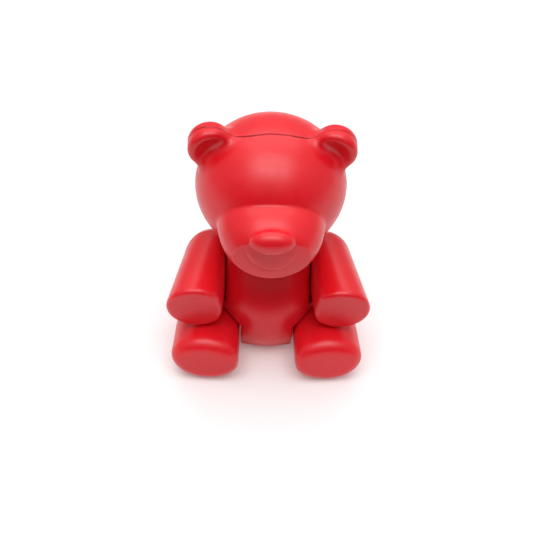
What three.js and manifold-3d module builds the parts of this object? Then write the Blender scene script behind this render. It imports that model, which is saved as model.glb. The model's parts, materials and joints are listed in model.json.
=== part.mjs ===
// A seated bear toy of moulded vinyl, 72 mm tall: a turning head, two arms and two legs on a round body.
// Millimetres, +Z up. The bear faces -Y, and its own left side is +X. The origin lies on the floor under the
// middle of the toy. Every hollow piece is split at one upright parting plane into a front and a rear shell,
// and the flanged pegs that carry the head and the limbs are trapped between the two shells of each side.
import * as THREE from "three";
import { mergeVertices } from "three/addons/utils/BufferGeometryUtils.js";
import Module from "manifold-3d";

const wasm = await Module();
wasm.setup();

// Driving dimensions. Places are measured from the parting plane (y = 0), the floor and the mirror plane.
const partingY = 3.6; // how far the parting plane stands behind the middle of the toy
const wall = 1.8; // thickness of every shell
const gap = 0.3; // between two pieces that meet or turn on each other
const sweepRoom = 0.5; // between a limb and the body round it, through the limb's whole swing
const reach = 100; // longer than the toy, for cutting blocks
const roundSides = 18; // facets round a small bar or peg

const head = {
  centre: [0, 1.8, 52],
  half: [21.2, 21.1, 19.3],
  floorZ: 34.6, // the flat that turns on the neck
  posts: [[-14, 57], [14, 57], [0, 65.5]], // x and z of the locating posts
};
const muzzle = { start: [0, -10, 50.4], end: [0, -28.3, 48.6], radii: [15, 12.9], edge: 3, squash: 0.7 };
const muzzleDome = { centre: [0, -5.3, 48.6], half: [23, 23, 23] }; // rounds the muzzle's face
const nose = { centre: [0, -27.1, 55.4], half: [5.9, 3, 3.4] };
const ear = { start: [17.8, 4.7, 66.4], end: [16.3, -2.4, 65.4], radii: [5.3, 6.6], edge: 2, squash: 1 };
const earDish = { centre: [15.9, -7.6, 65], half: [5.3, 6.4, 5.3] }; // scooped out of the ear's front
const torso = {
  centre: [0, -0.2, 14],
  half: [17.1, 18.4, 18],
  neck: { fromZ: 21, lowerRadius: 13, upperRadius: 8.6 }, // the slope up to the head
  lap: { halfWidth: 7.6, frontY: -11.5, topZ: 8 }, // the straight lower edge between the legs
  posts: [[-5.5, 19], [5.5, 19]],
};
const arm = {
  start: [16.2, 0, 25.3], // middle of the round shoulder, on the swing axis
  end: [22.4, -28.7, 24.1],
  radii: [8.5, 8.1],
  squash: 1,
  face: { point: [21.5, -21.4, 25.2], tilt: 8.5, splay: 0 }, // the flat paw face, in degrees
  innerX: 12.6, // the flat that turns against the body
  swing: -20, // degrees about +X, from rest to raised
};
const leg = {
  start: [15.6, 0, 8.16], // middle of the round hip, on the swing axis
  end: [18.5, -33.8, 7.78],
  radii: [10.6, 10.1],
  squash: 0.77,
  face: { point: [16, -27, 8], tilt: 0, splay: 4 }, // the flat sole
  innerX: 8.1,
  swing: 90, // degrees about +X, from seated to standing
};
const peg = { waist: 2.6, flange: 4.2, flangeThickness: 1.2 };
const post = { radius: 2.6, pinRadius: 1.2, pinLength: 4 };

const vinyl = { color: 0xd8202f, roughness: 0.42, metalness: 0 };
const pegPlastic = { color: 0xe9e4d8, roughness: 0.5, metalness: 0 };

// A closed geometry as a solid that can be cut and joined.
function solid(geometry) {
  geometry.deleteAttribute("normal");
  geometry.deleteAttribute("uv");
  const merged = mergeVertices(geometry, 1e-4);
  return new wasm.Manifold(
    new wasm.Mesh({
      numProp: 3,
      vertProperties: merged.getAttribute("position").array,
      triVerts: new Uint32Array(merged.index.array),
    }),
  );
}

function joined(solids) {
  return solids.reduce((sum, next) => sum.add(next));
}

function ellipsoid({ centre, half }, grow = 0) {
  const geometry = new THREE.SphereGeometry(1, 28, 18);
  geometry.scale(...half.map((size) => size + grow));
  return solid(geometry.translate(...centre));
}

function block(low, high) {
  const size = high.map((value, axis) => value - low[axis]);
  const middle = high.map((value, axis) => (value + low[axis]) / 2);
  return solid(new THREE.BoxGeometry(...size).translate(...middle));
}

// Turns a form that was made along +Y to lie along the named axis.
function layAlong(geometry, axis) {
  if (axis === "x") geometry.rotateZ(-Math.PI / 2);
  if (axis === "z") geometry.rotateX(Math.PI / 2);
  return geometry;
}

// A round bar along the named axis, from one place on it to another.
function bar(axis, radius, from, to, [x, y, z]) {
  const geometry = new THREE.CylinderGeometry(radius, radius, to - from, roundSides);
  geometry.translate(0, (from + to) / 2, 0);
  return solid(layAlong(geometry, axis).translate(x, y, z));
}

// The upright cone of the neck, up to its flat top, or that much smaller all round.
function neckCone(topZ, shrink = 0) {
  const { fromZ, lowerRadius, upperRadius } = torso.neck;
  const height = topZ - shrink - fromZ;
  const geometry = new THREE.CylinderGeometry(upperRadius - shrink, lowerRadius - shrink, height, 28);
  return solid(layAlong(geometry, "z").translate(0, 0, fromZ + height / 2));
}

// Everything on the far side of a plane, as one large block.
function beyond(point, normal) {
  const geometry = new THREE.BoxGeometry(2 * reach, 2 * reach, reach).translate(0, 0, reach / 2);
  const turn = new THREE.Quaternion().setFromUnitVectors(new THREE.Vector3(0, 0, 1), normal);
  return solid(geometry.applyQuaternion(turn).translate(...point));
}

// Points of a quarter round, from one angle to another, in equal steps.
function quarterRound([x, y], [radiusX, radiusY], from, to) {
  const steps = 4;
  return Array.from({ length: steps + 1 }, (_, i) => {
    const angle = THREE.MathUtils.degToRad(from + ((to - from) * i) / steps);
    return new THREE.Vector2(x + radiusX * Math.cos(angle), y + radiusY * Math.sin(angle));
  });
}

// A lathe form from its start point to its end point, flattened in height by squash.
function turnedBetween(outline, { start, end, squash }) {
  const along = new THREE.Vector3(...end).sub(new THREE.Vector3(...start)).normalize();
  const across = new THREE.Vector3().crossVectors(along, new THREE.Vector3(0, 0, 1)).normalize();
  const up = new THREE.Vector3().crossVectors(across, along);
  const geometry = new THREE.LatheGeometry(outline, 24).scale(1, 1, squash);
  geometry.applyMatrix4(new THREE.Matrix4().makeBasis(across, along, up));
  return geometry.translate(...start);
}

function lengthOf({ start, end }) {
  return new THREE.Vector3(...start).distanceTo(new THREE.Vector3(...end));
}

// A short drum with rounded edges: the muzzle and the ears.
function drum(form, grow = 0) {
  const [startRadius, endRadius] = form.radii.map((radius) => radius + grow);
  const { edge } = form;
  const length = lengthOf(form) + grow;
  const outline = [
    new THREE.Vector2(0, -grow),
    ...quarterRound([startRadius - edge, edge - grow], [edge, edge], -90, 0),
    ...quarterRound([endRadius - edge, length - edge], [edge, edge], 0, 90),
    new THREE.Vector2(0, length),
  ];
  return solid(turnedBetween(outline, form));
}

// A limb's barrel: a round hip or shoulder running out to an open-ended cone, swung about its own axis.
function barrel(limb, grow = 0, swing = 0) {
  const [startRadius, endRadius] = limb.radii.map((radius) => radius + grow);
  const length = lengthOf(limb);
  const outline = [
    ...quarterRound([0, 0], [startRadius, startRadius * limb.squash], -90, 0),
    new THREE.Vector2(endRadius, length),
    new THREE.Vector2(0, length),
  ];
  outline[0].x = 0;
  const geometry = turnedBetween(outline, limb);
  const [x, y, z] = limb.start;
  geometry.translate(-x, -y, -z).rotateX(THREE.MathUtils.degToRad(swing)).translate(x, y, z);
  return solid(geometry);
}

// The barrel cut off at its flat face and at the flat that turns against the body.
function limbForm(limb, grow = 0) {
  const { point, tilt, splay } = limb.face;
  const down = THREE.MathUtils.degToRad(tilt);
  const out = THREE.MathUtils.degToRad(splay);
  const normal = new THREE.Vector3(
    Math.sin(out) * Math.cos(down),
    -Math.cos(out) * Math.cos(down),
    -Math.sin(down),
  );
  const facePoint = new THREE.Vector3(...point).addScaledVector(normal, grow);
  return barrel(limb, grow)
    .subtract(beyond(facePoint.toArray(), normal))
    .intersect(outside(limb.innerX - grow));
}

// All that lies further out than x on the left side.
function outside(x) {
  return block([x, -reach, -reach], [reach, reach, reach]);
}

// The space that a limb needs beside the body, on both sides: a round hub, the barrel at both ends of its
// swing, and the quarter that it swings into.
function sweptPocket(limb, room) {
  const grow = sweepRoom + room;
  const hub = bar("x", limb.radii[0] * limb.squash + grow, 0, reach, [0, 0, limb.start[2]]);
  const [lowZ, highZ] = limb.swing > 0 ? [-reach, limb.start[2]] : [limb.start[2], reach];
  const quarter = block([0, -reach, lowZ], [reach, 0, highZ]);
  const swept = joined([hub, quarter, barrel(limb, grow), barrel(limb, grow, limb.swing)]);
  const left = swept.intersect(outside(limb.innerX - gap - room));
  return left.add(mirrored(left));
}

function mirrored(form) {
  const { positions, triangles } = meshData(form, true);
  return new wasm.Manifold(
    new wasm.Mesh({ numProp: 3, vertProperties: positions, triVerts: triangles }),
  );
}

// The vertices and triangles of a solid, mirrored to the other side where that is asked for.
function meshData(form, mirror) {
  const mesh = form.getMesh();
  const positions = new Float32Array(mesh.vertProperties);
  const triangles = new Uint32Array(mesh.triVerts);
  if (mirror) {
    for (let i = 0; i < positions.length; i += 3) positions[i] *= -1;
    for (let i = 0; i < triangles.length; i += 3) {
      [triangles[i], triangles[i + 1]] = [triangles[i + 1], triangles[i]];
    }
  }
  return { positions, triangles };
}

const inFront = block([-reach, -reach, -reach], [reach, -gap / 2, reach]);
const behind = block([-reach, gap / 2, -reach], [reach, reach, reach]);
const above = (z) => block([-reach, -reach, z], [reach, reach, reach]);
const pegHole = peg.waist + gap;

// Adds posts to a hollow form, parts it, and gives the rear posts pins that enter the front ones.
function partedShells(outer, hollow, posts) {
  const postAt = ([x, z]) => bar("y", post.radius, -reach / 2, reach / 2, [x, 0, z]);
  const pinAt = ([x, z]) => bar("y", post.pinRadius, -post.pinLength, 1, [x, 0, z]);
  const socketAt = ([x, z]) => bar("y", post.pinRadius + gap, -post.pinLength - gap, 0, [x, 0, z]);
  const struts = joined(posts.map(postAt)).intersect(outer);
  const whole = outer.subtract(hollow).add(struts);
  return {
    front: whole.intersect(inFront).subtract(joined(posts.map(socketAt))),
    rear: whole.intersect(behind).add(joined(posts.map(pinAt))),
  };
}

function headShells() {
  const ears = drum(ear).subtract(ellipsoid(earDish));
  const snout = (grow) => drum(muzzle, grow).intersect(ellipsoid(muzzleDome, grow));
  const skin = joined([ellipsoid(head), snout(0), ellipsoid(nose), ears, mirrored(ears)]);
  const cavity = ellipsoid(head, -wall).add(snout(-wall));
  const neckHole = bar("z", pegHole, head.floorZ - 1, head.floorZ + wall + 1, [0, 0, 0]);
  return partedShells(
    skin.intersect(above(head.floorZ)).subtract(neckHole),
    cavity.intersect(above(head.floorZ + wall)),
    head.posts,
  );
}

function torsoShells() {
  const topZ = head.floorZ - gap;
  const sideX = arm.innerX - gap;
  const shoulder = [0, 0, arm.start[2]];
  const bossRadius = peg.flange + gap;
  const { halfWidth, frontY, topZ: lapTop } = torso.lap;
  const lap = (shrink) =>
    block([shrink - halfWidth, frontY + shrink, 0], [halfWidth - shrink, 0, lapTop - shrink]);
  const skin = joined([
    lap(0),
    ellipsoid(torso),
    neckCone(topZ),
    bar("x", bossRadius + wall, -sideX, sideX, shoulder),
  ]);
  const cavity = joined([
    lap(wall),
    ellipsoid(torso, -wall),
    neckCone(topZ, wall),
    bar("x", bossRadius, wall - sideX, sideX - wall, shoulder),
  ]);
  const pockets = (room) => sweptPocket(arm, room).add(sweptPocket(leg, room));
  const holes = joined([
    bar("z", pegHole, topZ - wall - 1, topZ + 1, [0, 0, 0]),
    bar("x", pegHole, -sideX - 1, sideX + 1, shoulder),
    bar("x", pegHole, -leg.innerX, leg.innerX, [0, 0, leg.start[2]]),
  ]);
  return partedShells(
    skin.intersect(above(0)).subtract(pockets(0)).subtract(holes),
    cavity.intersect(above(wall)).subtract(pockets(wall)),
    torso.posts,
  );
}

function limbShells(limb) {
  const hole = bar("x", pegHole, limb.innerX - 1, limb.innerX + wall + 1, [0, 0, limb.start[2]]);
  const shell = limbForm(limb).subtract(limbForm(limb, -wall)).subtract(hole);
  return { front: shell.intersect(inFront), rear: shell.intersect(behind) };
}

// A peg with a flange at each end, through the two walls that turn on each other.
function flangedPeg(axis, from, centre) {
  const waistEnd = peg.flangeThickness + 2 * wall + 3 * gap;
  const outline = [
    [0, 0],
    [peg.flange, 0],
    [peg.flange, peg.flangeThickness],
    [peg.waist, peg.flangeThickness],
    [peg.waist, waistEnd],
    [peg.flange, waistEnd],
    [peg.flange, waistEnd + peg.flangeThickness],
    [0, waistEnd + peg.flangeThickness],
  ].map(([radius, along]) => new THREE.Vector2(radius, along));
  const geometry = layAlong(new THREE.LatheGeometry(outline, roundSides).translate(0, from, 0), axis);
  return solid(geometry.translate(...centre));
}

const toy = new THREE.Group();
toy.position.y = partingY;

function addPiece(name, form, look, mirror = false) {
  const { positions, triangles } = meshData(form, mirror);
  const geometry = new THREE.BufferGeometry();
  geometry.setAttribute("position", new THREE.BufferAttribute(positions, 3));
  geometry.setIndex(new THREE.BufferAttribute(triangles, 1));
  const piece = new THREE.Mesh(geometry, new THREE.MeshStandardMaterial(look));
  piece.name = name;
  toy.add(piece);
}

const pegInset = gap + wall + gap + peg.flangeThickness; // from a limb's flat back to the peg's inner end
const headParts = headShells();
addPiece("head_front_shell", headParts.front, vinyl);
addPiece("head_rear_shell", headParts.rear, vinyl);
addPiece("neck_peg", flangedPeg("z", head.floorZ - pegInset, [0, 0, 0]), pegPlastic);

const torsoParts = torsoShells();
addPiece("torso_front_shell", torsoParts.front, vinyl);
addPiece("torso_rear_shell", torsoParts.rear, vinyl);

for (const side of ["left", "right"]) {
  const mirror = side === "right";
  for (const [limb, shellName, joint] of [[arm, "arm", "shoulder"], [leg, "leg", "hip"]]) {
    const shells = limbShells(limb);
    const limbPeg = flangedPeg("x", limb.innerX - pegInset, [0, 0, limb.start[2]]);
    addPiece(`${side}_${shellName}_shell`, shells.front, vinyl, mirror);
    addPiece(`${side}_${joint}_cap`, shells.rear, vinyl, mirror);
    addPiece(`${side}_${joint}_peg`, limbPeg, pegPlastic, mirror);
  }
}

export default toy;
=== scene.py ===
import json
import math
import bmesh
import bpy
import numpy as np
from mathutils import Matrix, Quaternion, Vector


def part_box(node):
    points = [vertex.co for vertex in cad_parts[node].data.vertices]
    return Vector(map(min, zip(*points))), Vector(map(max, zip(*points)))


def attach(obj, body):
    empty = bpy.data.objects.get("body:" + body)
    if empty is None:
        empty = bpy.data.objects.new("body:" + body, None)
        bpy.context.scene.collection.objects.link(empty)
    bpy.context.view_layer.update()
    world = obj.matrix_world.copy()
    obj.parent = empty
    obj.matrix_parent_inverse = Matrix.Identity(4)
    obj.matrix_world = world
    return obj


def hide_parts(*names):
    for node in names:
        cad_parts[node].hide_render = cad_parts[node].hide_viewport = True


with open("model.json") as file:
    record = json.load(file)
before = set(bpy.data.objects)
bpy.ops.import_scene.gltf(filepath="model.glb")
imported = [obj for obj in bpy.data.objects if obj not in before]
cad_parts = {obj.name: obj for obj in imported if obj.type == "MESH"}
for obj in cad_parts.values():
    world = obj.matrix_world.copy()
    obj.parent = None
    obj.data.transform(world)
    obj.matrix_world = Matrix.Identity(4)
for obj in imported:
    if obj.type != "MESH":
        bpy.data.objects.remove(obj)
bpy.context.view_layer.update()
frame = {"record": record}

# Forms are worked out in millimetres from the parting plane (y = 0), the floor and the mirror plane.
metre = 0.001
joints = {joint["name"]: joint for joint in frame["record"]["behaviour"]["joints"]}
partingY = joints["neck_swivel"]["pos_m"][1]
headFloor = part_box("head_front_shell")[0][2] / metre
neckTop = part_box("torso_front_shell")[1][2] / metre
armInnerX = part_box("left_arm_shell")[0][0] / metre
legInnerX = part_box("left_leg_shell")[0][0] / metre
turnGap = headFloor - neckTop
shoulderZ = joints["left_shoulder"]["pos_m"][2] / metre
hipZ = joints["left_hip"]["pos_m"][2] / metre

moulding = {
    "wall": 1.8,
    "pegHole": 2.9,  # radius of the holes that the pegs turn in
    "holeReach": 3,  # how deep those holes cut in from a turning face
    "grid": 0.45,  # spacing of the points on a skin
    "gridMargin": 1.37,  # grid steps outside the box, an odd share so that flats miss the grid's planes
    "settlings": 3,
    "smoothings": 4,
    "smoothShare": 0.7,
    "sharpAngle": 35,
}


def lengthOf(vectors):
    return np.sqrt((vectors * vectors).sum(-1))


def blend(first, second, width):  # joins two forms with a soft fillet
    overlap = np.maximum(width - np.abs(first - second), 0) / width
    return np.minimum(first, second) - overlap * overlap * width / 4


def carve(form, tool, width):  # takes the tool out of a form, with soft edges
    return -blend(-form, tool, width)


def meet(first, second, radius):  # what two forms share, with a rounded edge
    a = np.maximum(first + radius, 0)
    b = np.maximum(second + radius, 0)
    return np.where((a > 0) & (b > 0), np.sqrt(a * a + b * b) - radius, np.maximum(first, second))


def softStep(values, low, high):
    t = np.clip((values - low) / (high - low), 0, 1)
    return t * t * (3 - 2 * t)


def mirrorFold(points):  # the right side's points laid onto the left
    folded = points.copy()
    folded[:, 0] = np.abs(folded[:, 0])
    return folded


def ellipsoid(points, centre, half):
    q = points - np.array(centre)
    half = np.array(half, float)
    outer = lengthOf(q / half)
    inner = np.maximum(lengthOf(q / (half * half)), 1e-9)
    return outer * (outer - 1) / inner


# A point's place along a flattened round bar: how far along, how far out from its skin, and the bar's length.
def alongBar(points, bar):
    start = np.array(bar["start"], float)
    along = np.array(bar["end"], float) - start
    length = np.linalg.norm(along)
    along /= length
    across = np.cross(along, [0, 0, 1])
    across /= np.linalg.norm(across)
    up = np.cross(across, along)
    q = points - start
    t = q @ along
    side = q @ across
    high = (q @ up) / bar["squash"]
    radius = np.sqrt(side * side + high * high) + 1e-9
    firstRadius, lastRadius = bar["radii"]
    taper = (lastRadius - firstRadius) / length
    stretch = np.sqrt(side * side + (high / bar["squash"]) ** 2) / radius
    skin = (radius - firstRadius - taper * t) / np.sqrt(1 + taper * taper) / np.maximum(stretch, 1e-3)
    return t, skin, length, side, high


def drum(points, bar):
    t, skin, length, _, _ = alongBar(points, bar)
    return meet(skin, np.abs(t - length / 2) - length / 2, bar["edge"])


def barrel(points, bar):  # a round start that runs out to an endless cone
    t, skin, _, side, high = alongBar(points, bar)
    squash = bar["squash"]
    radius = bar["radii"][0]
    behind = np.sqrt(side * side + high * high + (t / squash) ** 2) + 1e-9
    slope = np.sqrt(side * side + (high / squash) ** 2 + (t / squash ** 2) ** 2) / behind
    return np.where(t > 0, skin, (behind - radius) / np.maximum(slope, 1e-3))


def swungPoints(points, degrees, height):  # the points as a limb swung by that angle sees them
    angle = math.radians(-degrees)
    y = points[:, 1]
    z = points[:, 2] - height
    turned = points.copy()
    turned[:, 1] = y * math.cos(angle) - z * math.sin(angle)
    turned[:, 2] = y * math.sin(angle) + z * math.cos(angle) + height
    return turned


headForm = {
    "skull": {"centre": (0, 1.8, 52), "half": (21.2, 21.1, 19.3)},
    "muzzle": {
        "start": (0, -10, 50.4),
        "end": (0, -28.3, 48.6),
        "radii": (15, 12.9),
        "edge": 2,
        "squash": 0.7,
    },
    "muzzleDome": {"centre": (0, -5.3, 48.6), "radius": 23},
    "muzzleEdge": 5.5,
    "muzzleFillet": 0.5,
    "nose": {"centre": (0, -27.1, 55.4), "half": (5.9, 3, 3.4)},
    "noseFillet": 1.3,
    "smile": {
        "height": 52.6,
        "half": (6.7, 7.4),
        "relief": 0.3,
        "lip": (0.35, 0.9, 0.92, 1.02),  # where the lip rises and falls, as shares of the half size
        "crease": 0.25,
        "creaseAt": 1.03,
        "creaseWidth": 0.05,
        "fade": 0.5,  # how much fainter the end on the bear's left is
    },
    "ear": {
        "start": (17.8, 4.7, 66.4),
        "end": (16.3, -2.4, 65.4),
        "radii": (5.3, 6.6),
        "edge": 2.2,
        "squash": 1,
    },
    "earFillet": 3,
    "floorEdge": 0.5,  # round the flat that turns on the neck
    "dish": {"centre": (15.9, -8.1, 65), "half": (5.3, 6.4, 5.3)},
    "dishEdge": 1.8,
}


def headSkin(points):
    at = mirrorFold(points)
    skin = ellipsoid(at, **headForm["skull"])
    ear = drum(at, headForm["ear"])
    ear = carve(ear, ellipsoid(at, **headForm["dish"]), headForm["dishEdge"])
    skin = blend(skin, ear, headForm["earFillet"])
    dome = headForm["muzzleDome"]
    domed = lengthOf(at - np.array(dome["centre"])) - dome["radius"]
    muzzle = meet(drum(at, headForm["muzzle"]), domed, headForm["muzzleEdge"])
    skin = blend(skin, muzzle, headForm["muzzleFillet"])
    skin = blend(skin, ellipsoid(at, **headForm["nose"]), headForm["noseFillet"])
    smile = headForm["smile"]
    wide, tall = smile["half"]
    out = np.sqrt((points[:, 0] / wide) ** 2 + ((points[:, 2] - smile["height"]) / tall) ** 2)
    below = softStep(smile["height"] - points[:, 2], 0, 3) * softStep(-points[:, 1], 20, 24)
    fade = 1 - smile["fade"] * softStep(points[:, 0], -1, 5)
    lip = softStep(out, *smile["lip"][:2]) * (1 - softStep(out, *smile["lip"][2:]))
    crease = np.exp(-((out - smile["creaseAt"]) / smile["creaseWidth"]) ** 2)
    skin = skin - below * fade * (smile["relief"] * lip - smile["crease"] * crease)
    return meet(skin, headFloor - points[:, 2], headForm["floorEdge"])


# The pegs turn in round holes: this is the space beside the hole through a wall.
def drilled(shell, across, beyondWall):
    return np.maximum(shell, np.minimum(moulding["pegHole"] - across, -beyondWall))


def hollowed(skin):
    return np.maximum(skin, -skin - moulding["wall"])


def headSolid(points):
    across = lengthOf(points[:, :2])
    return drilled(hollowed(headSkin(points)), across, points[:, 2] - headFloor - moulding["holeReach"])


armForm = {
    "bar": {"start": (16.2, 0, shoulderZ), "end": (22.4, -28.7, 24.1), "radii": (8.5, 8.1), "squash": 1},
    "facePoint": (21.5, -21.4, 25.2),
    "faceTilt": 8.5,  # degrees, the flat paw face looks a little down
    "faceSplay": 0,
    "faceEdge": 1.6,
    "backX": armInnerX,
    "backEdge": 2.6,
    "swing": -joints["left_shoulder"]["range_deg"][1],
}
legForm = {
    "bar": {"start": (15.6, 0, hipZ), "end": (18.5, -33.8, 7.78), "radii": (10.6, 10.1), "squash": 0.77},
    "facePoint": (16, -27, 8),
    "faceTilt": 0,
    "faceSplay": 4,  # the soles look a little outwards
    "faceEdge": 3.5,
    "backX": legInnerX,
    "backEdge": 1.4,
    "swing": joints["left_hip"]["range_deg"][1],
}


def limbSkin(points, limb):
    at = mirrorFold(points)
    tilt = math.radians(limb["faceTilt"])
    splay = math.radians(limb["faceSplay"])
    out = (math.sin(splay) * math.cos(tilt), -math.cos(splay) * math.cos(tilt), -math.sin(tilt))
    face = (at - np.array(limb["facePoint"])) @ np.array(out)
    skin = meet(barrel(at, limb["bar"]), face, limb["faceEdge"])
    return meet(skin, limb["backX"] - at[:, 0], limb["backEdge"])


def limbSolid(points, limb):
    across = np.hypot(points[:, 1], points[:, 2] - limb["bar"]["start"][2])
    depth = np.abs(points[:, 0]) - limb["backX"]
    return drilled(hollowed(limbSkin(points, limb)), across, depth - moulding["holeReach"])


def armSolid(points):
    return limbSolid(points, armForm)


def legSolid(points):
    return limbSolid(points, legForm)


torsoForm = {
    "belly": {"centre": (0, -0.2, 14), "half": (17.1, 18.4, 18)},
    "neckFrom": 21,
    "neckRadii": (13, 8.6),
    "neckFillet": 4,
    "bossRadius": 6.3,  # the round bosses that carry the arms
    "bossFillet": 2,
    "lap": {"halfWidth": 7.6, "frontY": -11.5, "topZ": 8},  # the straight lower edge between the legs
    "lapEdge": 0.6,
    "lapFillet": 3,
    "sweepRoom": 0.5,
    "pocketEdge": 0.6,
    "baseEdge": 0.7,
    "neckEdge": 0.5,
    "sideHoleReach": 4,  # how deep the holes for the limbs' pegs cut in
}


def limbPocket(at, limb):  # the space beside the body that a limb swings through
    height = limb["bar"]["start"][2]
    room = torsoForm["sweepRoom"]
    around = np.hypot(at[:, 1], at[:, 2] - height)
    hub = around - limb["bar"]["radii"][0] * limb["bar"]["squash"]
    swept = np.minimum(hub, barrel(at, limb["bar"]))
    swept = np.minimum(swept, barrel(swungPoints(at, limb["swing"], height), limb["bar"]))
    towards = 1 if limb["swing"] > 0 else -1
    quarter = np.maximum(at[:, 1], towards * (at[:, 2] - height))
    return np.maximum(np.minimum(swept - room, quarter), limb["backX"] - turnGap - at[:, 0])


def torsoSkin(points):
    at = mirrorFold(points)
    x, y, z = at.T
    low, high = torsoForm["neckRadii"]
    taper = (low - high) / (neckTop - torsoForm["neckFrom"])
    cone = np.hypot(x, y) - low + taper * (z - torsoForm["neckFrom"])
    cone = np.maximum(cone / math.hypot(1, taper), torsoForm["neckFrom"] - z)
    boss = np.maximum(np.hypot(y, z - shoulderZ) - torsoForm["bossRadius"], x - armInnerX + turnGap)
    lap = torsoForm["lap"]
    lapSide = meet(x - lap["halfWidth"], lap["frontY"] - y, torsoForm["lapEdge"])
    skin = blend(ellipsoid(at, **torsoForm["belly"]), cone, torsoForm["neckFillet"])
    skin = blend(skin, np.maximum(np.maximum(lapSide, y), z - lap["topZ"]), torsoForm["lapFillet"])
    skin = blend(skin, boss, torsoForm["bossFillet"])
    for limb in (armForm, legForm):
        skin = meet(skin, -limbPocket(at, limb), torsoForm["pocketEdge"])
    skin = meet(skin, -z, torsoForm["baseEdge"])
    return meet(skin, z - neckTop, torsoForm["neckEdge"])


def torsoSolid(points):
    x, y, z = points.T
    reach = torsoForm["sideHoleReach"]
    shell = drilled(hollowed(torsoSkin(points)), np.hypot(x, y), neckTop - moulding["holeReach"] - z)
    shell = drilled(shell, np.hypot(y, z - shoulderZ), armInnerX - reach - np.abs(x))
    return drilled(shell, np.hypot(y, z - hipZ), legInnerX - reach - np.abs(x))


skins = {  # the outer skin of each hollow form
    headSolid: headSkin,
    torsoSolid: torsoSkin,
    armSolid: lambda points: limbSkin(points, armForm),
    legSolid: lambda points: limbSkin(points, legForm),
}
print("forms ready")


def uneven(points, size, seed):  # a smooth field between about -1 and 1, with bumps of that size
    random = np.random.default_rng(seed)
    waves = random.normal(size=(3, 9)) * math.pi / size
    return 0.8 * np.sin(points @ waves + random.uniform(0, math.tau, 9)).sum(-1) / 3


# One point in each grid cell that the skin crosses, and one face across each crossed grid line.
def gridMesh(form, low, high):
    step = moulding["grid"]
    low = np.array(low) - moulding["gridMargin"] * step
    cells = np.ceil((np.array(high) - low) / step).astype(int) + 1
    lines = [low[axis] + step * np.arange(cells[axis] + 1) for axis in range(3)]
    values = form(np.stack(np.meshgrid(*lines, indexing="ij"), -1).reshape(-1, 3)).reshape(cells + 1)

    def window(grid, start, size):
        return grid[tuple(slice(a, a + n) for a, n in zip(start, size))]

    total = np.zeros((*cells, 3))
    hits = np.zeros(cells)
    for axis in range(3):
        ahead = np.eye(3, dtype=int)[axis]
        for across in np.ndindex(2, 2):
            start = np.insert(across, axis, 0)
            first = window(values, start, cells)
            last = window(values, start + ahead, cells)
            crossed = (first < 0) != (last < 0)
            share = np.where(crossed, first / np.where(crossed, first - last, 1), 0)
            total += crossed[..., None] * start + share[..., None] * ahead
            hits += crossed
    used = hits > 0
    number = np.cumsum(used).reshape(cells) - 1
    points = low + step * (np.argwhere(used) + total[used] / hits[used][:, None])
    faces = []
    for axis in range(3):
        ahead, second, third = np.roll(np.eye(3, dtype=int), -axis, axis=0)
        size = cells - second - third
        start = second + third
        first = window(values, start, size) < 0
        last = window(values, start + ahead, size) < 0
        around = [start, start - second, start - second - third, start - third]
        quads = np.stack([window(number, corner, size) for corner in around], -1)
        faces += [quads[first & ~last], quads[~first & last][:, ::-1]]
    return points, np.concatenate(faces)


def slopeOf(form, points):
    probe = 0.02
    steps = [form(points + shift) - form(points - shift) for shift in probe * np.eye(3)]
    return np.stack(steps, -1) / (2 * probe)


def settled(form, points):  # moves points onto the skin, a small way at a time
    slope = slopeOf(form, points)
    longest, leastSlope = 0.3, 0.2
    steepness = np.maximum((slope * slope).sum(-1, keepdims=True), leastSlope)
    return points + np.clip(-form(points)[:, None] * slope / steepness, -longest, longest)


def smoothMesh(form, low, high):
    points, faces = gridMesh(form, low, high)
    for _ in range(moulding["settlings"]):
        points = settled(form, points)
    ends, others = faces.ravel(), np.roll(faces, -1, axis=1).ravel()
    count = np.bincount(ends)[:, None]
    for _ in range(moulding["smoothings"]):
        mean = np.stack([np.bincount(ends, points[others, axis]) for axis in range(3)], -1) / count
        slope = slopeOf(form, points)
        normal = slope / np.maximum(lengthOf(slope), 0.2)[:, None]
        move = mean - points
        move -= (move * normal).sum(-1, keepdims=True) * normal  # only along the skin
        points = settled(form, points + moulding["smoothShare"] * move)
    return points, faces


seamForm = {
    "gap": 0.16,  # between the two halves
    "round": 0.14,  # rounding of each half's rim
    "wander": 0.1,  # how far the line strays from the plane
    "crownBow": {"by": -1.6, "x": (5, 13), "z": (60, 69)},  # forwards over the crown
    "shoulderBow": {"by": 2.4, "x": (12, 14), "z": (29, 32), "endZ": (35, 38)},  # backwards over the shoulders
    "flash": 0.22,  # tallest bit of trimmed flash that still stands on the rim
    "rimBand": 0.35,  # width of the row of faces along the rim
    "rimSteps": 3,
    "nearSkin": 0.4,  # flash stands only this near the outer skin
}


def seamStray(points):
    flat = points * (1, 0, 1)
    x, z = np.abs(points[:, 0]), points[:, 2]
    crown, shoulder = seamForm["crownBow"], seamForm["shoulderBow"]
    overCrown = crown["by"] * (1 - softStep(x, *crown["x"])) * softStep(z, *crown["z"])
    overShoulder = shoulder["by"] * softStep(x, *shoulder["x"]) * softStep(z, *shoulder["z"])
    overShoulder = overShoulder * (1 - softStep(z, *shoulder["endZ"]))
    return overCrown + overShoulder + seamForm["wander"] * (uneven(flat, 9, 3) + 0.4 * uneven(flat, 2, 4))


def seamFlash(points):
    flat = points * (1, 0, 1)
    rough = softStep(uneven(flat, 7, 5), 0.1, 0.9) * (0.65 + 0.35 * uneven(flat, 0.9, 6))
    return seamForm["flash"] * rough


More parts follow.
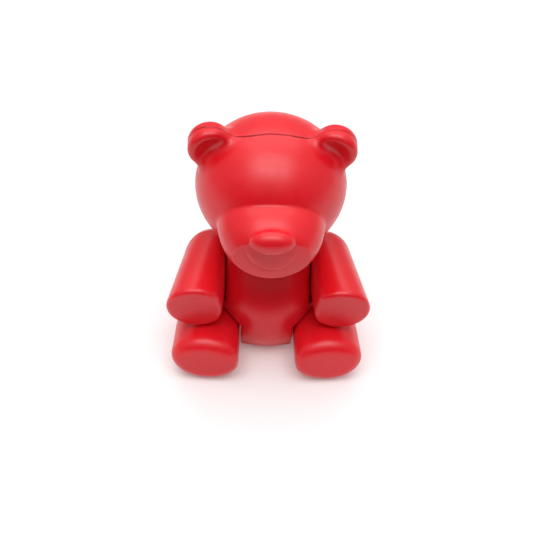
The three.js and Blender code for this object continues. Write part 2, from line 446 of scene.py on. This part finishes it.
# Cuts a closed shell at the parting line, rounds its rim there and closes the cut.
def halfShell(points, faces, form, side):
    cut = bpy.data.meshes.new("cut")
    cut.from_pydata(points - np.outer(seamStray(points), (0, 1, 0)), [], faces)
    shell = bmesh.new()
    shell.from_mesh(cut)
    bpy.data.meshes.remove(cut)
    keep = shell.verts.layers.float_vector.new("outward")
    tall = shell.verts.layers.float.new("flash")
    level = side * (seamForm["gap"] / 2 + seamForm["round"])
    for place, clear in ((level + side * seamForm["rimBand"], False), (level, True)):
        bmesh.ops.bisect_plane(
            shell,
            geom=[*shell.verts, *shell.edges, *shell.faces],
            dist=1e-3,
            plane_co=(0, place, 0),
            plane_no=(0, side, 0),
            clear_inner=clear,
        )
    rim = [edge for edge in shell.edges if edge.is_boundary]
    corners = list({corner for edge in rim for corner in edge.verts})
    places = np.array([corner.co for corner in corners])
    outward = slopeOf(form, places) * (1, 0, 1)
    outward /= np.maximum(lengthOf(outward), 0.3)[:, None]
    outside = np.abs(skins[form](places)) < seamForm["nearSkin"]
    flash = np.where(outside, seamFlash(places), 0)
    for corner, direction, height in zip(corners, outward, flash):
        corner[keep] = direction
        corner[tall] = height
    steps = seamForm["rimSteps"]
    for step in range(steps):
        before, after = (math.radians(90 * (step + more) / steps) for more in (0, 1))
        made = bmesh.ops.extrude_edge_only(shell, edges=rim)["geom"]
        rim = [item for item in made if isinstance(item, bmesh.types.BMEdge) and item.is_boundary]
        for corner in [item for item in made if isinstance(item, bmesh.types.BMVert)]:
            inward = seamForm["round"] * (math.cos(before) - math.cos(after))
            corner.co += corner[keep] * (corner[tall] / steps - inward)
            corner.co.y -= side * seamForm["round"] * (math.sin(after) - math.sin(before))
    bmesh.ops.triangle_fill(shell, edges=rim, use_beauty=False)
    bmesh.ops.recalc_face_normals(shell, faces=shell.faces)
    return shell


def addPiece(name, shell, form, material, body, node):
    mesh = bpy.data.meshes.new(name)
    shell.to_mesh(mesh)
    shell.free()
    count = len(mesh.vertices)
    places = np.zeros(count * 3)
    mesh.vertices.foreach_get("co", places)
    places = places.reshape(-1, 3)
    if form:
        fromSeam = np.abs(places[:, 1])
        places[:, 1] += seamStray(places)
        for field, values in (("fromSeam", fromSeam), ("edge", edgeOf(form, places))):
            layer = mesh.attributes.new(field, "FLOAT", "POINT")
            layer.data.foreach_set("value", values.astype(np.float32))
    places = places * metre + np.array((0, partingY, 0))
    mesh.vertices.foreach_set("co", places.ravel())
    mesh.shade_smooth()
    mesh.set_sharp_from_angle(angle=math.radians(moulding["sharpAngle"]))
    mesh.materials.append(material)
    mesh.validate()
    piece = bpy.data.objects.new(name, mesh)
    bpy.context.scene.collection.objects.link(piece)
    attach(piece, body)
    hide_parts(node)
    return piece


def edgeOf(form, points):  # how sharply the outer skin bends outwards, for wear on its edges
    skin = skins[form]
    reachOut, sharpest = 0.9, 1.2
    around = [skin(points + sign * reachOut * axis) for axis in np.eye(3) for sign in (1, -1)]
    bend = (np.sum(around, axis=0) - 6 * skin(points)) / reachOut ** 2
    return np.clip(bend / sharpest, 0, 1)


def sizeOf(*nodes):  # the box round some CAD nodes, in the forms' own millimetres
    boxes = [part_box(node) for node in nodes]
    low = np.min([box[0] for box in boxes], axis=0)
    high = np.max([box[1] for box in boxes], axis=0)
    middle = np.array((0, partingY, 0))
    return (low - middle) / metre, (high - middle) / metre


# A shader socket, with the sums that the materials use.
class Wire:
    def __init__(self, tree, socket=None):
        self.tree = tree
        self.socket = socket

    def node(self, kind, settings, inputs, output=0):
        made = self.tree.nodes.new(kind)
        for name, value in settings.items():
            setattr(made, name, value)
        for name, value in inputs.items():
            if isinstance(value, Wire):
                self.tree.links.new(value.socket, made.inputs[name])
            else:
                made.inputs[name].default_value = value
        return Wire(self.tree, made.outputs[output])

    def sum(self, operation, first, second):
        return self.node("ShaderNodeMath", {"operation": operation}, {0: first, 1: second})

    def __add__(self, other):
        return self.sum("ADD", self, other)

    __radd__ = __add__

    def __mul__(self, other):
        return self.sum("MULTIPLY", self, other)

    __rmul__ = __mul__

    def __sub__(self, other):
        return self.sum("SUBTRACT", self, other)

    def __rsub__(self, other):
        return self.sum("SUBTRACT", other, self)

    def between(self, low, high, toLow=0.0, toHigh=1.0):  # eases from one value to another
        limits = {"Value": self, "From Min": low, "From Max": high, "To Min": toLow, "To Max": toHigh}
        return self.node("ShaderNodeMapRange", {"interpolation_type": "SMOOTHSTEP"}, limits)

    def mix(self, first, second):  # this wire is the share of the second colour
        colours = {0: self, 6: first, 7: second}
        return self.node("ShaderNodeMix", {"data_type": "RGBA"}, colours, 2)

    def noise(self, place, scale, detail=2.0, roughness=0.5):
        inputs = {"Vector": place, "Scale": scale, "Detail": detail, "Roughness": roughness}
        return self.node("ShaderNodeTexNoise", {}, inputs)

    def bump(self, height, strength, distance, under=None):
        inputs = {"Height": height, "Strength": strength, "Distance": distance}
        if under:
            inputs["Normal"] = under
        return self.node("ShaderNodeBump", {}, inputs)


def newMaterial(name, plain):
    material = bpy.data.materials.new(name)
    material.use_nodes = True
    surface = material.node_tree.nodes["Principled BSDF"]
    for socket, value in plain.items():
        surface.inputs[socket].default_value = value
    start = Wire(material.node_tree)
    place = start.node("ShaderNodeTexCoord", {}, {}, "Object")
    return material, surface, start, place


def join(wire, surface, socket):
    wire.tree.links.new(wire.socket, surface.inputs[socket])


redVinyl = {
    "clouds": {"broad": 55, "middle": 420, "fine": 2600},  # per metre
    "red": (0.78, 0.0065, 0.016, 1),
    "deepRed": (0.7, 0.005, 0.013, 1),
    "wornRed": (0.85, 0.05, 0.065, 1),
    "grime": (0.17, 0.005, 0.02, 1),
    "roughness": (0.29, 0.39),
    "polish": 0.06,  # worn edges are that much less rough
    "wear": 0.35,
    "dirt": 0.5,
    "grimeReach": (0.12, 0.5),  # millimetres from the parting line
    "wavesBump": (0.12, 0.0012),  # strength, and height in metres
    "grainBump": (0.07, 0.00012),
}


def makeVinyl():
    material, surface, start, place = newMaterial("satinRedVinyl", {"Specular IOR Level": 0.5, "IOR": 1.5})
    fromSeam = start.node("ShaderNodeAttribute", {"attribute_name": "fromSeam"}, {}, "Fac")
    clouds = redVinyl["clouds"]
    broad = start.noise(place, clouds["broad"], 3)
    cloud = start.noise(place, clouds["middle"], 4, 0.6)
    fine = start.noise(place, clouds["fine"], 3, 0.6)
    edge = start.node("ShaderNodeAttribute", {"attribute_name": "edge"}, {}, "Fac")
    worn = edge.between(0.25, 1) * cloud.between(0.35, 0.7)
    dirty = (1 - fromSeam.between(*redVinyl["grimeReach"])) * cloud.between(0.3, 0.6)
    colour = broad.between(0.3, 0.7).mix(redVinyl["deepRed"], redVinyl["red"])
    colour = (worn * redVinyl["wear"]).mix(colour, redVinyl["wornRed"])
    colour = (dirty * redVinyl["dirt"]).mix(colour, redVinyl["grime"])
    join(colour, surface, "Base Color")
    low, high = redVinyl["roughness"]
    polish = worn * redVinyl["polish"]
    join((cloud + broad).between(0.75, 1.25, low, high) - polish, surface, "Roughness")
    waves = start.bump(broad, *redVinyl["wavesBump"])
    join(start.bump(cloud * 0.7 + fine * 0.3, *redVinyl["grainBump"], waves), surface, "Normal")
    return material


pegPlastic = {
    "clouds": {"middle": 600, "fine": 3000},  # per metre
    "pale": (0.8, 0.77, 0.69, 1),
    "dull": (0.66, 0.62, 0.54, 1),
    "roughness": (0.38, 0.55),
    "grainBump": (0.25, 0.0001),
}


def makePegPlastic():
    material, surface, start, place = newMaterial("palePegPlastic", {"IOR": 1.46})
    cloud = start.noise(place, pegPlastic["clouds"]["middle"], 3)
    fine = start.noise(place, pegPlastic["clouds"]["fine"], 2)
    join(cloud.between(0.35, 0.65).mix(pegPlastic["dull"], pegPlastic["pale"]), surface, "Base Color")
    join(cloud.between(0.3, 0.7, *pegPlastic["roughness"]), surface, "Roughness")
    join(start.bump(fine, *pegPlastic["grainBump"]), surface, "Normal")
    return material


vinylMaterial = makeVinyl()
pegMaterial = makePegPlastic()
print("materials ready")


def buildHalves(form, box, halves, mirror=False):
    points, faces = smoothMesh(form, *box)
    sides = [("left", 1, faces)]
    if mirror:
        sides += [("right", -1, faces[:, ::-1])]
    for sideName, flip, turned in sides:
        placed = points * (flip, 1, 1)
        for node, body, side in halves(sideName):
            shell = halfShell(placed, turned, form, side)
            addPiece(node + "_skin", shell, form, vinylMaterial, body, node)


def limbHalves(shellName, capName, limbName):
    def halves(side):
        body = f"{side}_{limbName}"
        return [(f"{side}_{shellName}", body, -1), (f"{side}_{capName}", body, 1)]

    return halves


def trunkHalves(name):
    return lambda side: [(f"{name}_front_shell", name, -1), (f"{name}_rear_shell", name, 1)]


buildHalves(headSolid, sizeOf("head_front_shell", "head_rear_shell"), trunkHalves("head"))
buildHalves(torsoSolid, sizeOf("torso_front_shell", "torso_rear_shell"), trunkHalves("torso"))
armBox = sizeOf("left_arm_shell", "left_shoulder_cap")
legBox = sizeOf("left_leg_shell", "left_hip_cap")
buildHalves(armSolid, armBox, limbHalves("arm_shell", "shoulder_cap", "arm"), mirror=True)
buildHalves(legSolid, legBox, limbHalves("leg_shell", "hip_cap", "leg"), mirror=True)
print("shells ready")

pegForm = {
    "waist": 2.6,
    "flangeThickness": 1.2,
    "chamfer": 0.2,
    "fillet": 0.25,
    "dimple": {"rim": 1.2, "radius": 0.9, "depth": 0.35},  # where the mould's pin stood
    "sides": 64,
}


# A peg turned on its own axis, which lies along x or z through the middle of its CAD box.
def buildPeg(node, axis):
    low, high = (np.array(corner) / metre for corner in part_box(node))
    middle = (low + high) / 2
    half = (high - low)[axis] / 2
    flange = (high - low)[1] / 2
    waist, thick, bevel = pegForm["waist"], pegForm["flangeThickness"], pegForm["chamfer"]
    dimple = pegForm["dimple"]
    upper = [
        (waist, half - thick - pegForm["fillet"]),
        (waist + pegForm["fillet"], half - thick),
        (flange - bevel, half - thick),
        (flange, half - thick + bevel),
        (flange, half - bevel),
        (flange - bevel, half),
        (dimple["rim"], half),
        (dimple["radius"], half - dimple["depth"]),
    ]
    outline = [(radius, -along) for radius, along in reversed(upper)] + upper
    peg = bmesh.new()
    sides = pegForm["sides"]
    rings = []
    for radius, along in outline:
        ring = []
        for step in range(sides):
            turn = math.tau * step / sides
            place = np.array((radius * math.cos(turn), radius * math.sin(turn), along))
            ring.append(peg.verts.new(np.roll(place, axis + 1)))
        rings.append(ring)
    for first, second in zip(rings, rings[1:]):
        for step in range(sides):
            after = (step + 1) % sides
            peg.faces.new((first[step], first[after], second[after], second[step]))
    peg.faces.new(reversed(rings[0]))
    peg.faces.new(rings[-1])
    bmesh.ops.recalc_face_normals(peg, faces=peg.faces)
    bmesh.ops.translate(peg, verts=peg.verts, vec=middle - np.array((0, partingY / metre, 0)))
    addPiece(node + "_turned", peg, None, pegMaterial, "torso", node)


buildPeg("neck_peg", 2)
for side in ("left", "right"):
    for joint in ("shoulder", "hip"):
        buildPeg(f"{side}_{joint}_peg", 0)
print("pegs ready")

stageForm = {
    "sideReach": 2.0,
    "rearReach": 2.0,
    "frontReach": 0.22,  # past this, a dark room shows in the glossy skin
    "paper": (0.8, 0.8, 0.8, 1),
    "glow": 0.14,  # lifts the paper to a clean white
}


def makeFloor():
    side, rear, front = (stageForm[reach] for reach in ("sideReach", "rearReach", "frontReach"))
    mesh = bpy.data.meshes.new("floor")
    corners = [(-side, -front, 0), (side, -front, 0), (side, rear, 0), (-side, rear, 0)]
    mesh.from_pydata(corners, [], [(0, 1, 2, 3)])
    material = newMaterial("whitePaper", {"Roughness": 0.7, "Specular IOR Level": 0.2})[0]
    surface = material.node_tree.nodes["Principled BSDF"]
    surface.inputs["Base Color"].default_value = stageForm["paper"]
    surface.inputs["Emission Color"].default_value = (1, 1, 1, 1)
    surface.inputs["Emission Strength"].default_value = stageForm["glow"]
    mesh.materials.append(material)
    floor = bpy.data.objects.new("floor", mesh)
    bpy.context.scene.collection.objects.link(floor)


lightForm = {
    "sky": (0.38, 0.7),  # at the horizon and overhead
    "frontLeft": 0.05,  # share of the sky's light that the front horizon keeps
    "skyRise": (-0.1, 0.9),  # heights of a direction between which the sky brightens
    "frontRise": (0.35, 0.8),  # and between which the dark front ends
    "frontWidth": (-0.8, 0),
    "target": (0, 0, 0.04),
    "distance": 0.9,
    "boxes": [  # soft boxes: where each hangs, how wide and high it looks, in degrees, and how bright
        {"name": "rearBox", "azimuth": 180, "elevation": 60, "looks": (60, 30), "bright": 1.5},
        {"name": "frontBox", "azimuth": -4, "elevation": 75, "looks": (52, 35), "bright": 3.6},
    ],
}


def makeSky():
    world = bpy.data.worlds.new("studio")
    bpy.context.scene.world = world
    world.use_nodes = True
    start = Wire(world.node_tree)
    away = start.node("ShaderNodeTexCoord", {}, {}, "Generated")
    apart = start.node("ShaderNodeSeparateXYZ", {}, {0: away})
    upward = Wire(world.node_tree, apart.socket.node.outputs["Z"])
    along = Wire(world.node_tree, apart.socket.node.outputs["Y"])
    bright = upward.between(*lightForm["skyRise"], *lightForm["sky"])
    front = (1 - along.between(*lightForm["frontWidth"])) * (1 - upward.between(*lightForm["frontRise"]))
    dark = front * (1 - lightForm["frontLeft"])
    seen = start.node("ShaderNodeLightPath", {}, {}, "Is Camera Ray")
    light = bright * (1 - dark)
    strength = light * (1 - seen) + seen  # the backdrop itself is plain white
    world.node_tree.links.new(strength.socket, world.node_tree.nodes["Background"].inputs["Strength"])
    world.node_tree.nodes["Background"].inputs["Color"].default_value = (1, 1, 1, 1)


def makeLamps():
    target = Vector(lightForm["target"])
    away = lightForm["distance"]
    for box in lightForm["boxes"]:
        turn, height = math.radians(box["azimuth"]), math.radians(box["elevation"])
        level = math.cos(height)
        side = Vector((math.sin(turn) * level, -math.cos(turn) * level, math.sin(height)))
        lamp = bpy.data.lights.new(box["name"], "AREA")
        lamp.shape = "RECTANGLE"
        lamp.size, lamp.size_y = (2 * away * math.tan(math.radians(look / 2)) for look in box["looks"])
        lamp.energy = box["bright"] * math.pi * lamp.size * lamp.size_y
        holder = bpy.data.objects.new(box["name"], lamp)
        bpy.context.scene.collection.objects.link(holder)
        holder.location = target + away * side
        holder.rotation_mode = "QUATERNION"
        holder.rotation_quaternion = (-side).to_track_quat("-Z", "Y")


cameraForm = {
    "eye": (-7.39, -204.94, 212.42),
    "aim": (1.87, -10, 27.84),
    "lens": 60.84,
    "roll": 2.88,
}


def makeCamera():
    camera = bpy.data.cameras.new("camera")
    camera.lens = cameraForm["lens"]
    camera.sensor_width = 36
    camera.clip_start = 0.01
    holder = bpy.data.objects.new("camera", camera)
    bpy.context.scene.collection.objects.link(holder)
    seam = Vector((0, partingY, 0))
    eye = Vector(cameraForm["eye"]) * metre + seam
    aim = Vector(cameraForm["aim"]) * metre + seam
    holder.location = eye
    holder.rotation_mode = "QUATERNION"
    roll = Quaternion((0, 0, 1), math.radians(cameraForm["roll"]))
    holder.rotation_quaternion = (aim - eye).to_track_quat("-Z", "Y") @ roll
    bpy.context.scene.camera = holder


makeFloor()
makeSky()
makeLamps()
makeCamera()
bpy.context.scene.view_settings.view_transform = "Standard"
print("stage ready")
